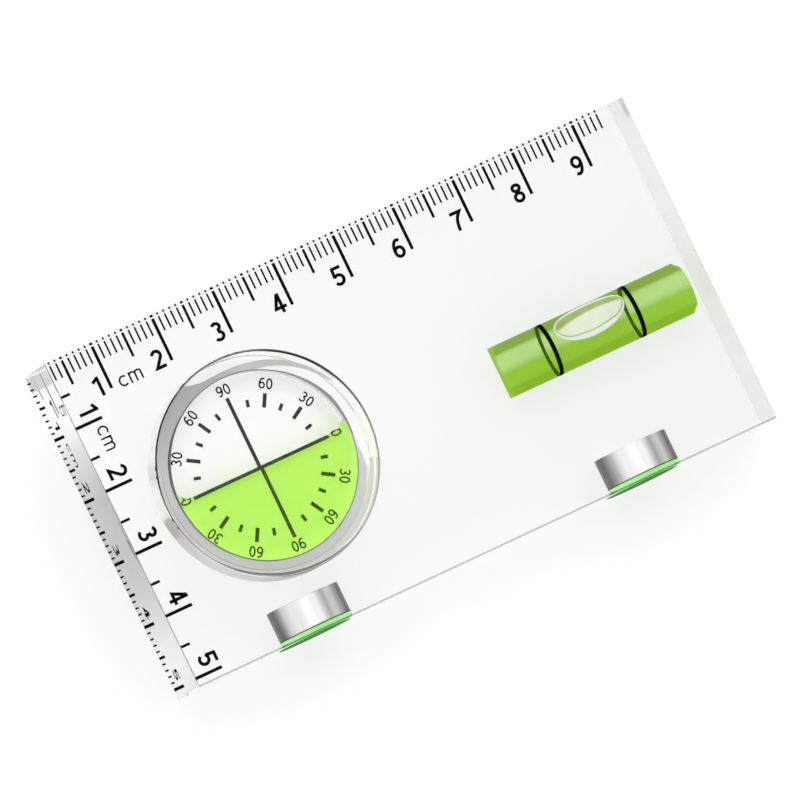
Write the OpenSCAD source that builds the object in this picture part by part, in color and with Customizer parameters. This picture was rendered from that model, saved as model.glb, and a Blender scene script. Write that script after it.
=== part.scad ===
// Magnetic mini level: a clear acrylic block with two rulers on its back, an angle dial
// half filled with liquid, a bubble vial and two magnets in its lower long edge.
// It lies on its back. The origin is the middle of the back face, +X runs along the
// length, +Y points to the long ruler's edge and +Z to the front face. Millimetres.

/* [Block] */
// Length of the block, along the long ruler
body_l = 96.2; // [90:0.1:120]
// Height of the block, along the short ruler
body_h = 51.7; // [48:0.1:70]
// Thickness of the block
body_t = 12.7; // [12.5:0.1:18]
// Bevel on every outer edge of the block
edge_bevel = 0.3; // [0.1:0.05:0.6]

/* [Dial] */
// Distance of the dial's middle from the left end
dial_from_left = 23.8; // [20:0.1:28]
// Distance of the dial's middle below the middle of the block
dial_drop = 0.65; // [-1:0.05:1]
// Outer diameter of the dial's capsule
dial_d = 33; // [28:0.1:34]
// Clearance round the capsule in its pocket, on the radius
dial_fit = 0.1; // [0.05:0.01:0.3]
// Side wall of the capsule's cup
dial_wall = 2.6; // [1.5:0.1:3.4]
// Thickness of the clear lens
dial_lens_t = 3; // [1:0.1:4]
// Bevel on the lens's upper edge
dial_lens_bevel = 0.25; // [0.1:0.05:0.6]
// Depth of the chamber between the dial face and the lens
dial_chamber_h = 2.5; // [1.5:0.1:4]
// Thickness of the white dial face
dial_face_t = 0.3; // [0.2:0.05:0.6]
// Clearance round the dial face in the cup, on the radius
dial_face_fit = 0.05; // [0.02:0.01:0.2]
// Thickness of the cup's base
dial_base_t = 1.5; // [0.8:0.1:3]
// Clearance round the dial's liquid, to the wall, the face and the lens
dial_liquid_gap = 0.1; // [0.05:0.01:0.3]

/* [Dial print] */
// Depth of the ink in the dial face
dial_ink = 0.1; // [0.05:0.01:0.15]
// Length of each crosshair line
cross_l = 22.4; // [18:0.1:23]
// Width of the crosshair lines
cross_w = 0.55; // [0.3:0.05:0.8]
// Radius at which the long marks end
long_mark_r = 11; // [10:0.1:11.5]
// Length of the long marks
long_mark_l = 2.1; // [1:0.1:3]
// Width of the long marks
long_mark_w = 0.56; // [0.3:0.01:0.8]
// Radius at which the short marks end
short_mark_r = 10.1; // [9.5:0.1:11]
// Length of the short marks
short_mark_l = 1.1; // [0.6:0.1:2]
// Width of the short marks
short_mark_w = 0.5; // [0.3:0.01:0.8]

/* [Vial] */
// Outer diameter of the vial
vial_d = 8; // [7:0.1:9.5]
// Length of the vial
vial_l = 30.8; // [28:0.1:36]
// Distance of the vial from the right end of the block
vial_from_right = 3.1; // [2:0.1:8]
// Distance of the vial's axis below the middle of the block
vial_drop = 2.85; // [-8:0.05:6]
// Glue gap round the vial in its bore, on the radius
vial_fit = 0.05; // [0.02:0.01:0.2]
// Side wall of the vial's tube
tube_wall = 0.6; // [0.4:0.05:0.9]
// Thickness of the tube's closed end
tube_end = 1.4; // [0.8:0.1:2.5]
// Length of the plug in the tube's open end
tube_plug_l = 1.6; // [0.8:0.1:2.5]
// Film of glue round each plug and round the sealed-in liquid, on the radius
film = 0.02; // [0.01:0.01:0.05]

/* [Vial rings] */
// Distance between the two rings, middle to middle
ring_spacing = 13.9; // [12:0.1:18]
// Width of a ring
ring_w = 0.65; // [0.4:0.05:1.2]
// Depth of a ring in the tube's wall
ring_depth = 0.15; // [0.1:0.01:0.25]

/* [Bubble] */
// Length of the bubble
bubble_l = 11.3; // [8:0.1:12]
// Thickness of the bubble
bubble_d = 4; // [3:0.1:4.6]
// Direction in which the bubble floats, from the front face towards the upper edge
bubble_angle = 62; // [0:1:90]
// Distance of the resting bubble from the middle of the vial
bubble_rest = 0.3; // [-2:0.1:2]
// Clearance between the bubble and the tube's wall
bubble_wall_gap = 0.1; // [0.05:0.01:0.2]
// Clearance between the bubble and the liquid round it
bubble_gap = 0.2; // [0.15:0.01:0.4]

/* [Magnets] */
// Diameter of a magnet and of its cap
magnet_d = 11.5; // [8:0.1:11.6]
// Length of a magnet
magnet_l = 4.6; // [3:0.1:6]
// Thickness of the coloured cap
magnet_cap_t = 1; // [0.3:0.05:1.5]
// Distance between the two magnets, middle to middle
magnet_spacing = 54.6; // [40:0.1:64]
// Glue gap round a magnet in its pocket, on the radius
magnet_fit = 0.05; // [0.02:0.01:0.2]

/* [Rulers] */
// Distance between neighbouring ticks, one millimetre on a true ruler
tick_pitch = 1; // [0.9:0.01:1.3]
// Depth of the ink in the back face
ruler_ink = 0.1; // [0.05:0.01:0.2]
// Distance of the ticks from the bevel
tick_inset = 0.05; // [0.02:0.01:0.3]
// Length of a millimetre tick
mm_tick_l = 2.3; // [1.5:0.1:3]
// Width of a millimetre tick
mm_tick_w = 0.27; // [0.15:0.01:0.4]
// Length of a half centimetre tick
half_tick_l = 3.8; // [3:0.1:4.5]
// Width of a half centimetre tick
half_tick_w = 0.4; // [0.2:0.01:0.6]
// Length of a centimetre tick
cm_tick_l = 6.65; // [5:0.05:8]
// Width of a centimetre tick
cm_tick_w = 0.48; // [0.2:0.01:0.7]
// Blank stretch at the end of the long ruler
long_blank = 2; // [1:0.1:6]
// Blank stretch at the end of the short ruler
short_blank = 1.5; // [1:0.1:6]

/* [Hidden] */
$fn = 96;
// Overshoot of a cut past an open face
past = 1;

left_x = -body_l / 2;
right_x = body_l / 2;
top_y = body_h / 2;
bottom_y = -body_h / 2;
mid_z = body_t / 2;

dial_x = left_x + dial_from_left;
dial_y = -dial_drop;
dial_r = dial_d / 2;
chamber_r = dial_r - dial_wall;
cup_h = dial_base_t + dial_face_t + dial_chamber_h;
dial_h = cup_h + dial_lens_t;
// Heights over the pocket's floor
face_z = dial_base_t;
print_z = face_z + dial_face_t;
pocket_z = body_t - dial_h;

vial_r = vial_d / 2;
tube_r = vial_r - tube_wall;
vial_right = right_x - vial_from_right;
vial_left = vial_right - vial_l;
vial_mid = (vial_left + vial_right) / 2;
vial_y = -vial_drop;
cavity_left = vial_left + tube_end;
cavity_right = vial_right - tube_plug_l;
bubble_r = bubble_d / 2;
bubble_lift = tube_r - bubble_wall_gap - bubble_r;
bubble_y = bubble_lift * sin(bubble_angle);
bubble_z = bubble_lift * cos(bubble_angle);

magnet_r = magnet_d / 2;
magnet_x = magnet_spacing / 2;
cap_y = bottom_y + magnet_cap_t;

tick_start = edge_bevel + tick_inset;
long_count = floor((body_l - long_blank) / tick_pitch);
short_count = floor((body_h - short_blank) / tick_pitch);

ink = [0.06, 0.06, 0.07];
clear = [0.93, 0.96, 0.97, 0.35];

// Kinds of tick on a ruler
MM = 0;
HALF = 1;
CM = 2;
function tick_kind(i) = i % 10 == 0 ? CM : i % 5 == 0 ? HALF : MM;
function tick_length(kind) = [mm_tick_l, half_tick_l, cm_tick_l][kind];
function tick_width(kind) = [mm_tick_w, half_tick_w, cm_tick_w][kind];

// Rectangle about the origin with bevelled corners
module bevelled_rect(w, h, c) {
    polygon([
        [-w / 2 + c, -h / 2], [w / 2 - c, -h / 2], [w / 2, -h / 2 + c], [w / 2, h / 2 - c],
        [w / 2 - c, h / 2], [-w / 2 + c, h / 2], [-w / 2, h / 2 - c], [-w / 2, -h / 2 + c]
    ]);
}

// Block standing on z = 0 with every edge bevelled
module bevelled_block(l, h, t, c) {
    intersection() {
        linear_extrude(t) bevelled_rect(l, h, c);
        translate([0, 0, t / 2]) rotate([90, 0, 0])
            linear_extrude(h + 2 * past, center = true) bevelled_rect(l, t, c);
        translate([0, 0, t / 2]) rotate([90, 0, 90])
            linear_extrude(l + 2 * past, center = true) bevelled_rect(h, t, c);
    }
}

// Cylinder along +X from x0 to x1, on the vial's axis
module along_vial(x0, x1, r) {
    translate([x0, vial_y, mid_z]) rotate([0, 90, 0]) cylinder(r = r, h = x1 - x0);
}

// Cylinder along +Y from y0 to y1, on a magnet's axis
module along_magnet(x, y0, y1, r) {
    translate([x, y0, mid_z]) rotate([-90, 0, 0]) cylinder(r = r, h = y1 - y0);
}

// Places its children on the dial's axis, at a height over the pocket's floor
module on_dial(z) {
    translate([dial_x, dial_y, pocket_z + z]) children();
}

// Ticks of one kind along the upper edge, counted from the left end
module long_ticks(kind) {
    for (i = [1 : long_count])
        if (tick_kind(i) == kind)
            translate([left_x + i * tick_pitch, top_y - tick_start, 0])
                translate([-tick_width(kind) / 2, -tick_length(kind), 0])
                    cube([tick_width(kind), tick_length(kind), ruler_ink]);
}

// Ticks of one kind along the left end, counted from the upper edge
module short_ticks(kind) {
    for (i = [1 : short_count])
        if (tick_kind(i) == kind)
            translate([left_x + tick_start, top_y - i * tick_pitch - tick_width(kind) / 2, 0])
                cube([tick_length(kind), tick_width(kind), ruler_ink]);
}

// Radial marks on the dial face, at the given angles in each quarter
module dial_marks(angles, r, l, w) {
    for (quarter = [0 : 3], angle = angles)
        on_dial(print_z - dial_ink) rotate(90 * quarter + angle)
            translate([r - l, -w / 2, 0]) cube([l, w, dial_ink]);
}

module crosshair() {
    for (angle = [0, 90])
        on_dial(print_z - dial_ink) rotate(angle)
            translate([-cross_l / 2, -cross_w / 2, 0]) cube([cross_l, cross_w, dial_ink]);
}

module long_marks() {
    dial_marks([30, 60], long_mark_r, long_mark_l, long_mark_w);
}

module short_marks() {
    dial_marks([15, 45, 75], short_mark_r, short_mark_l, short_mark_w);
}

module acrylic_body() {
    color(clear) difference() {
        bevelled_block(body_l, body_h, body_t, edge_bevel);
        on_dial(0) cylinder(r = dial_r + dial_fit, h = dial_h + past);
        along_vial(vial_left, right_x + past, vial_r + vial_fit);
        for (side = [-1, 1])
            along_magnet(side * magnet_x, bottom_y - past, cap_y + magnet_l, magnet_r + magnet_fit);
        for (kind = [MM, HALF, CM]) {
            long_ticks(kind);
            short_ticks(kind);
        }
    }
}

module dial_cup() {
    color(clear) on_dial(0) rotate_extrude()
        polygon([
            [0, 0], [dial_r, 0], [dial_r, cup_h], [chamber_r, cup_h], [chamber_r, face_z], [0, face_z]
        ]);
}

module dial_face() {
    color("white") difference() {
        on_dial(face_z) cylinder(r = chamber_r - dial_face_fit, h = dial_face_t);
        crosshair();
        long_marks();
        short_marks();
    }
}

module dial_crosshair() {
    color(ink) crosshair();
}

module dial_long_marks() {
    color(ink) long_marks();
}

module dial_short_marks() {
    color(ink) short_marks();
}

// Lower half of the chamber, with its level on the 0-0 line
module dial_liquid() {
    r = chamber_r - dial_liquid_gap;
    color([0.71, 1, 0.36, 0.8]) on_dial(print_z + dial_liquid_gap)
        rotate(180) rotate_extrude(angle = 180)
            square([r, dial_chamber_h - 2 * dial_liquid_gap]);
}

module dial_lens() {
    c = dial_lens_bevel;
    color(clear) on_dial(cup_h) rotate_extrude()
        polygon([
            [0, 0], [dial_r, 0], [dial_r, dial_lens_t - c], [dial_r - c, dial_lens_t], [0, dial_lens_t]
        ]);
}

// Groove or ring of the vial, at one side of its middle
module vial_ring(side, outer_r) {
    x = vial_mid + side * ring_spacing / 2;
    difference() {
        along_vial(x - ring_w / 2, x + ring_w / 2, outer_r);
        along_vial(x - ring_w / 2 - past, x + ring_w / 2 + past, vial_r - ring_depth);
    }
}

module vial_tube() {
    color(clear) difference() {
        along_vial(vial_left, vial_right, vial_r);
        along_vial(cavity_left, vial_right + past, tube_r);
        for (side = [-1, 1]) vial_ring(side, vial_r + past);
    }
}

module vial_end_plug() {
    color(clear) along_vial(cavity_right, vial_right, tube_r - film);
}

// Liquid of the vial, with the channel along which the bubble runs
module vial_liquid() {
    color([0.53, 0.75, 0.2, 0.8]) difference() {
        along_vial(cavity_left, cavity_right, tube_r - film);
        translate([0, bubble_y, bubble_z])
            along_vial(cavity_left - past, cavity_right + past, bubble_r + bubble_gap);
    }
}

module vial_bubble() {
    steps = 24;
    half_outline = [
        for (i = [0 : steps])
            let (a = -90 + 180 * i / steps)
            [i == 0 || i == steps ? 0 : bubble_r * cos(a), bubble_l / 2 * sin(a)]
    ];
    color([0.93, 1, 0.85, 0.6])
        translate([vial_mid + bubble_rest, vial_y + bubble_y, mid_z + bubble_z])
            rotate([0, 90, 0]) rotate_extrude() polygon(half_outline);
}

module vial_ring_left() {
    color(ink) vial_ring(-1, vial_r);
}

module vial_ring_right() {
    color(ink) vial_ring(1, vial_r);
}

module vial_bore_plug() {
    color(clear) along_vial(vial_right, right_x, vial_r + vial_fit - film);
}

module magnet(side) {
    color("silver") along_magnet(side * magnet_x, cap_y, cap_y + magnet_l, magnet_r);
}

module magnet_cap(side) {
    color([0.4, 0.85, 0.35]) along_magnet(side * magnet_x, bottom_y, cap_y, magnet_r);
}

module long_ruler(kind) {
    color(ink) long_ticks(kind);
}

// The first short ticks cross long ticks at the corner, where the long ones run through
module short_ruler(kind) {
    color(ink) difference() {
        short_ticks(kind);
        for (crossed = [MM, HALF, CM]) long_ticks(crossed);
    }
}

acrylic_body();
dial_cup();
dial_face();
dial_crosshair();
dial_long_marks();
dial_short_marks();
dial_liquid();
dial_lens();
vial_tube();
vial_end_plug();
vial_liquid();
vial_bubble();
vial_ring_left();
vial_ring_right();
vial_bore_plug();
magnet(-1);  // magnet_left
magnet(1);  // magnet_right
magnet_cap(-1);  // magnet_cap_left
magnet_cap(1);  // magnet_cap_right
long_ruler(MM);  // long_ruler_mm
long_ruler(HALF);  // long_ruler_half_cm
long_ruler(CM);  // long_ruler_cm
short_ruler(MM);  // short_ruler_mm
short_ruler(HALF);  // short_ruler_half_cm
short_ruler(CM);  // short_ruler_cm
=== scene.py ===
"""Looks of a magnetic mini level.

A clear acrylic block carries two printed rulers, an angle dial that is half full of lime liquid, a green
bubble vial and two plated magnets. Sizes are in millimetres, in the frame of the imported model, and every mesh
is scaled to metres when it becomes a piece.
"""

import logging
import math
from dataclasses import dataclass
from enum import Enum
from typing import Iterable, Sequence

import bmesh
import bpy
from mathutils import Matrix, Vector


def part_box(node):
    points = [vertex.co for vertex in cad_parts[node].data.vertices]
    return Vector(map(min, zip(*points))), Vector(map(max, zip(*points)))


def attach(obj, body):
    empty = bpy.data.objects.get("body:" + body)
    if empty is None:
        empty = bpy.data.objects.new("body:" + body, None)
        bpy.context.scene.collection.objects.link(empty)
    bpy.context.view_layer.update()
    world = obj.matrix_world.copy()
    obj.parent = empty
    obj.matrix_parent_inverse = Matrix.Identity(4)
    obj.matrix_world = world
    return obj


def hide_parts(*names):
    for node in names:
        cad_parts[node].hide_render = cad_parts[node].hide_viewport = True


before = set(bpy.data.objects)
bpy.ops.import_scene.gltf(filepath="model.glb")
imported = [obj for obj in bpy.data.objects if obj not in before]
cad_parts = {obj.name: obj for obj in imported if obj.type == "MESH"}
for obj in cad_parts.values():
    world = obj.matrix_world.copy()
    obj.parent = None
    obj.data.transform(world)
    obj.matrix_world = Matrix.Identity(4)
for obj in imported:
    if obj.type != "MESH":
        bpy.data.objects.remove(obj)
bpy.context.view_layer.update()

LOG = logging.getLogger("mini_level")

# One millimetre, in metres
MM = 0.001
# Sides of a round piece
ROUND = 128
# Edges that turn by more than this stay sharp
SHARP_ANGLE = math.radians(30)
# The same for a piece whose flat faces have to stay true mirrors up to their edges
FLAT_ANGLE = math.radians(10)
# Width of the strip next to a rounded edge that keeps the flat beyond it flat
HOLD = 0.03
# Depth at which a bonded or printed piece lies under the block's own surface
SKIN = 0.02
# Values that nearly all of a noise lies between
NOISE_REACH = (0.3, 0.7)
# Keeps the mitre of a stroke's sharp corner short
MITRE_LIMIT = 0.35

Node = bpy.types.Node
Socket = bpy.types.NodeSocket
Point = tuple[float, float]
Colour = tuple[float, float, float]
Direction = tuple[float, float, float]
# An angle in degrees, with the places of the inner and the outer edge of a hoop there
Width = tuple[float, float, float]

# Where the dial's axis stands
DIAL_CENTRE: Point = (-24.3, -0.65)


class Body(Enum):
    """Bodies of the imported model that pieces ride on."""

    BLOCK = "block"
    DIAL_LEVEL = "dial_level"
    BUBBLE = "bubble"


class Slot(Enum):
    """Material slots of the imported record."""

    CLEAR_ACRYLIC = "clear_acrylic"
    WHITE_FACE = "white_face"
    GREY_INK = "grey_ink"
    BLACK_INK = "black_ink"
    LIME_LIQUID = "lime_liquid"
    GREEN_LIQUID = "green_liquid"
    BUBBLE_AIR = "bubble_air"
    PLATED_MAGNET = "plated_magnet"
    GREEN_CAP = "green_cap"


class Axis(Enum):
    """Direction in which a round piece's own axis points."""

    X = Matrix.Rotation(math.radians(90), 4, "Y")
    Y = Matrix.Rotation(math.radians(-90), 4, "X")


class Side(Enum):
    """End of the level that one of a pair of pieces belongs to."""

    LEFT = "left"
    RIGHT = "right"


@dataclass(frozen=True)
class Span:
    """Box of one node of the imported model, in millimetres."""

    low: Vector
    high: Vector

    @classmethod
    def of(cls, node: str) -> "Span":
        """Box of the named node.

        Args:
            node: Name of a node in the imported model.

        Returns:
            The node's box at rest.
        """
        low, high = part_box(node)
        return cls(low / MM, high / MM)

    @property
    def middle(self) -> Vector:
        """Middle of the box."""
        return (self.low + self.high) / 2

    @property
    def size(self) -> Vector:
        """Lengths of the box's sides."""
        return self.high - self.low


class Graph:
    """Node tree of a material or of the world, with short ways to add and join nodes."""

    def __init__(self, tree: bpy.types.NodeTree) -> None:
        """Keeps the tree.

        Args:
            tree: Node tree to build in.
        """
        self.tree = tree

    @property
    def shader(self) -> Node:
        """The Principled shader of a material."""
        return self.tree.nodes["Principled BSDF"]

    def add(self, kind: str, **values: object) -> Node:
        """Adds a node.

        Args:
            kind: Blender's name for the type of node.
            **values: Values of the node's inputs or properties, with spaces in names written as _.

        Returns:
            The new node.
        """
        node = self.tree.nodes.new(kind)
        for name, value in values.items():
            socket = node.inputs.get(name.replace("_", " "))
            if socket is None:
                setattr(node, name, value)
            else:
                socket.default_value = value
        return node

    def join(self, source: Socket | float, target: Socket) -> None:
        """Links an output to an input, or sets the input to a number.

        Args:
            source: Output of another node, or a plain number.
            target: Input that takes it.
        """
        if isinstance(source, float):
            target.default_value = source
        else:
            self.tree.links.new(source, target)

    def dress(self, **values: Socket | float) -> None:
        """Sets inputs of the material's shader.

        Args:
            **values: What each input takes, with spaces in names written as _.
        """
        for name, value in values.items():
            self.join(value, self.shader.inputs[name.replace("_", " ")])

    def noise(self, scale: float, detail: float = 3.0) -> Socket:
        """Noise in the object's own coordinates.

        Args:
            scale: Spots per metre.
            detail: How many finer layers the noise has.

        Returns:
            The noise's value.
        """
        place = self.add("ShaderNodeTexCoord")
        texture = self.add("ShaderNodeTexNoise", Scale=scale, Detail=detail)
        self.join(place.outputs["Object"], texture.inputs["Vector"])
        return texture.outputs["Fac"]

    def ramp(self, value: Socket, stops: Sequence[tuple[float, Colour]]) -> Socket:
        """Colours a value.

        Args:
            value: Value to colour.
            stops: Places from 0 to 1, each with its colour.

        Returns:
            The colour.
        """
        node = self.add("ShaderNodeValToRGB")
        elements = node.color_ramp.elements
        while len(elements) < len(stops):
            elements.new(1.0)
        for element, (place, colour) in zip(elements, stops):
            element.position = place
            element.color = (*colour, 1.0)
        self.join(value, node.inputs["Fac"])
        return node.outputs["Color"]

    def greys(self, value: Socket, shades: Sequence[Point], warmth: float = 1.0) -> Socket:
        """Colours a value in greys.

        Args:
            value: Value to colour.
            shades: Places from 0 to 1, each with its brightness.
            warmth: Share of its blue that each grey keeps.

        Returns:
            The colour.
        """
        return self.ramp(value, [(place, (shade, shade, shade * warmth)) for place, shade in shades])

    def tint(self, cloud: Socket, colour: Colour, stray: float = 0.03) -> Socket:
        """Colour that strays a little, darker and lighter.

        Args:
            cloud: Noise that it strays with.
            colour: Middle colour.
            stray: Share of the colour by which it strays.

        Returns:
            The colour.
        """
        dark = tuple(c * (1 - stray) for c in colour)
        light = tuple(min(c * (1 + stray), 1.0) for c in colour)
        return self.ramp(cloud, list(zip(NOISE_REACH, (dark, light))))

    def spread(self, value: Socket, low: float, high: float) -> Socket:
        """Maps a value from 0 to 1 to another range.

        Args:
            value: Value to map.
            low: Result at 0.
            high: Result at 1.

        Returns:
            The mapped value.
        """
        node = self.add("ShaderNodeMapRange", To_Min=low, To_Max=high)
        self.join(value, node.inputs["Value"])
        return node.outputs["Result"]

    def along(self, kind: str, axis: str) -> Socket:
        """One coordinate of the surface.

        Args:
            kind: Object for its place, Generated for its place in the piece's box, or Normal.
            axis: X, Y or Z.

        Returns:
            The coordinate, in metres for a place.
        """
        place = self.add("ShaderNodeTexCoord")
        split = self.add("ShaderNodeSeparateXYZ")
        self.join(place.outputs[kind], split.inputs["Vector"])
        return split.outputs[axis]

    def rise(self, value: Socket, start: float, end: float, unit: float = 1.0) -> Socket:
        """Smooth step.

        Args:
            value: Value to follow.
            start: Value at which the step begins, with the result 0.
            end: Value at which it ends, with the result 1.
            unit: What start and end are measured in.

        Returns:
            The step.
        """
        node = self.add(
            "ShaderNodeMapRange", From_Min=start * unit, From_Max=end * unit, interpolation_type="SMOOTHSTEP"
        )
        self.join(value, node.inputs["Value"])
        return node.outputs["Result"]

    def calc(self, operation: str, *values: Socket | float) -> Socket:
        """Works a value out.

        Args:
            operation: Blender's name for what is done with the values.
            *values: Outputs of other nodes, or plain numbers.

        Returns:
            The result.
        """
        node = self.add("ShaderNodeMath", operation=operation)
        for value, socket in zip(values, node.inputs):
            self.join(value, socket)
        return node.outputs[0]

    def both(self, first: Socket, second: Socket | float) -> Socket:
        """Product of two values."""
        return self.calc("MULTIPLY", first, second)

    def polar(self, centre: Point) -> tuple[Socket, Socket]:
        """Place of the surface about an upright axis.

        Args:
            centre: Where the axis stands, in millimetres.

        Returns:
            The distance from the axis in metres, and the turn about it: 0 at -X, 0.5 at +X and 0.75 at +Y.
        """
        x = self.calc("SUBTRACT", self.along("Object", "X"), centre[0] * MM)
        y = self.calc("SUBTRACT", self.along("Object", "Y"), centre[1] * MM)
        square = self.calc("ADD", self.both(x, x), self.both(y, y))
        turn = self.add("ShaderNodeMapRange", From_Min=-math.pi, From_Max=math.pi)
        self.join(self.calc("ARCTAN2", y, x), turn.inputs["Value"])
        return self.calc("SQRT", square), turn.outputs["Result"]

    def mix(self, share: Socket, other: Socket) -> None:
        """Mixes another shader into the material's own.

        Args:
            share: Share of the other shader.
            other: The other shader.
        """
        node = self.add("ShaderNodeMixShader")
        for source, target in zip((share, self.shader.outputs["BSDF"], other), node.inputs):
            self.join(source, target)
        self.join(node.outputs["Shader"], self.tree.nodes["Material Output"].inputs["Surface"])

    def blend(self, share: Socket | float, first: Socket, second: Socket, way: str = "MIX") -> Socket:
        """Mixes two colours.

        Args:
            share: Share of the second colour.
            first: First colour.
            second: Second colour.
            way: Blender's name for how the second colour works on the first.

        Returns:
            The mixed colour.
        """
        node = self.add("ShaderNodeMix", data_type="RGBA", blend_type=way)
        # The node's sockets for colours are the inputs 6 and 7 and the output 2
        for socket, number in ((share, 0), (first, 6), (second, 7)):
            self.join(socket, node.inputs[number])
        return node.outputs[2]


@dataclass(frozen=True)
class Finish:
    """Look of one kind of surface."""

    name: str
    slot: Slot

    def material(self) -> bpy.types.Material:
        """Material of this finish, which is made once.

        Returns:
            The material.
        """
        made = bpy.data.materials.get(self.name)
        if made is None:
            made = bpy.data.materials.new(self.name)
            made.use_nodes = True
            self.shade(Graph(made.node_tree))
        return made

    def shade(self, graph: Graph) -> None:
        """Sets the material's shader up.

        Args:
            graph: Node tree of the material.
        """
        raise NotImplementedError


@dataclass(frozen=True)
class ClearAcrylic(Finish):
    """Polished clear acrylic."""

    colour: Colour = (0.998, 0.999, 0.9985)
    stray: float = 0.002
    cloud: float = 60.0
    index: float = 1.49

    def shade(self, graph: Graph) -> None:
        """Sets up clear acrylic whose colour varies a little."""
        colour = graph.tint(graph.noise(self.cloud), self.colour, self.stray)
        graph.dress(IOR=self.index, Roughness=0.0, Transmission_Weight=1.0, Base_Color=colour)


@dataclass(frozen=True)
class BlockAcrylic(ClearAcrylic):
    """Acrylic of the block.

    Its right end, sawn and plugged, is a little milky, in a grey that is partly painted shade. The dial's
    pocket is dull and has glue on a part of its wall, in shades along the round that are painted shade and a
    painted reflection. The softened edges are painted dark as shade, paler at the lower side, and green there
    next to the caps as a painted reflection of them. The left end has a grey veil of painted shade.
    """

    # Width over which one look turns into another
    fade: float = 0.1
    # Milky grey of the right end, partly painted shade
    milky: Colour = (0.765, 0.75, 0.745)
    milky_from: float = 47.9
    milk: float = 0.31
    milk_rough: float = 0.12
    # Painted shade of the softened edges
    edge: Colour = (0.08, 0.08, 0.08)
    # Upward lean of the normal from which a face counts as an edge, and up to which it does
    edge_from: Point = (0.1, 0.3)
    edge_to: Point = (0.98, 0.94)
    # Lean of the normal to the right from which an edge stays clear
    edge_right: Point = (0.35, 0.2)
    # Paler painted shade of the edges at the lower side
    low_edge: Colour = (0.3, 0.3, 0.3)
    low_side: Point = (-25.0, -25.2)
    # Green painted reflection of the caps in the edges next to them
    cap_edge: Colour = (0.04, 0.2, 0.02)
    cap_place: float = 27.3
    # How far to the left of the caps their green shows
    cap_shift: float = 0.95
    cap_reach: Point = (5.6, 5.2)
    pocket: Point = DIAL_CENTRE
    pocket_reach: float = 16.9
    dullness: float = 0.35
    # Colours of the glue, painted shade and reflection, and its stretch, in turns about the pocket
    glue: tuple[tuple[float, Colour], ...] = (
        (0.01, (0.52, 0.49, 0.47)), (0.035, (0.52, 0.49, 0.47)), (0.045, (0.66, 0.64, 0.62)),
        (0.1, (0.76, 0.755, 0.745)), (0.3, (0.76, 0.755, 0.745)),
    )
    glue_start: Point = (0.005, 0.015)
    glue_end: Point = (0.36, 0.31)
    glue_rough: float = 0.5
    # Grey veil of painted shade on the left end, by share of the way across from the lower wall
    smoke: tuple[Point, ...] = (
        (0.0, 0.84), (0.08, 0.92), (0.16, 0.857), (0.24, 0.737), (0.32, 0.648), (0.43, 0.6), (0.59, 0.58),
        (0.67, 0.655), (0.747, 0.78), (0.79, 0.9), (0.84, 0.998),
    )
    smoke_warmth: float = 0.995
    smoky_to: Point = (-48.07, -48.09)

    def shade(self, graph: Graph) -> None:
        """Sets up the acrylic with its uneven places."""
        cloud = graph.noise(self.cloud)
        length = graph.along("Object", "X")
        upward = graph.calc("ABSOLUTE", graph.along("Normal", "Z"))
        end = graph.rise(length, self.milky_from, self.milky_from + self.fade, MM)
        # Mask of the softened edges, which are painted dark as shade
        edge_shade_mask = graph.both(graph.rise(upward, *self.edge_from), graph.rise(upward, *self.edge_to))
        edge_shade_mask = graph.both(edge_shade_mask, graph.rise(graph.along("Normal", "X"), *self.edge_right))
        radius, turn = graph.polar(self.pocket)
        inside = graph.rise(radius, self.pocket_reach + self.fade, self.pocket_reach, MM)
        dull = graph.both(inside, graph.rise(upward, *reversed(self.edge_from)))
        glue_shade_mask = graph.both(graph.rise(turn, *self.glue_start), graph.rise(turn, *self.glue_end))
        glue_shade_mask = graph.both(glue_shade_mask, dull)
        body = graph.tint(cloud, self.colour, self.stray)
        body = graph.blend(end, body, graph.tint(cloud, self.milky))
        body = graph.blend(edge_shade_mask, body, self._edges(graph, cloud, length))
        # The glue's shades along the round are painted shade and a painted reflection
        body = graph.blend(glue_shade_mask, body, graph.ramp(turn, self.glue))
        opaque = graph.calc("MAXIMUM", graph.both(end, self.milk), glue_shade_mask)
        clear = graph.calc("SUBTRACT", 1.0, opaque)
        rough = graph.calc("ADD", graph.both(dull, self.dullness), graph.both(end, self.milk_rough))
        rough = graph.calc("ADD", rough, graph.both(glue_shade_mask, self.glue_rough))
        graph.dress(IOR=self.index, Base_Color=body, Transmission_Weight=clear, Roughness=rough)
        self._smoke(graph, length)

    def _edges(self, graph: Graph, cloud: Socket, length: Socket) -> Socket:
        """Painted shade of the edges.

        Args:
            graph: Node tree of the material.
            cloud: Noise of the acrylic.
            length: Place along the block.

        Returns:
            Dark grey painted shade, paler at the lower side, and a green painted reflection of the caps by
            them.
        """
        shifted = graph.calc("ABSOLUTE", graph.calc("ADD", length, self.cap_shift * MM))
        away = graph.calc("ABSOLUTE", graph.calc("SUBTRACT", shifted, self.cap_place * MM))
        near = graph.rise(away, *self.cap_reach, MM)
        low = graph.rise(graph.along("Object", "Y"), *self.low_side, MM)
        low_edge = graph.blend(near, graph.tint(cloud, self.low_edge), graph.tint(cloud, self.cap_edge))
        return graph.blend(low, graph.tint(cloud, self.edge), low_edge)

    def _smoke(self, graph: Graph, length: Socket) -> None:
        """Shows the left end without glare, through a grey veil of painted shade that changes along it.

        Args:
            graph: Node tree of the material.
            length: Place along the block.
        """
        wall = graph.rise(length, *self.smoky_to, MM)
        outside = graph.calc("SUBTRACT", 1.0, graph.add("ShaderNodeNewGeometry").outputs["Backfacing"])
        # The veil is painted shade
        veil = graph.greys(graph.along("Generated", "Y"), self.smoke, self.smoke_warmth)
        window = graph.add("ShaderNodeBsdfRefraction", IOR=self.index, Roughness=0.0)
        graph.join(veil, window.inputs["Color"])
        graph.mix(graph.both(wall, outside), window.outputs["BSDF"])


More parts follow.
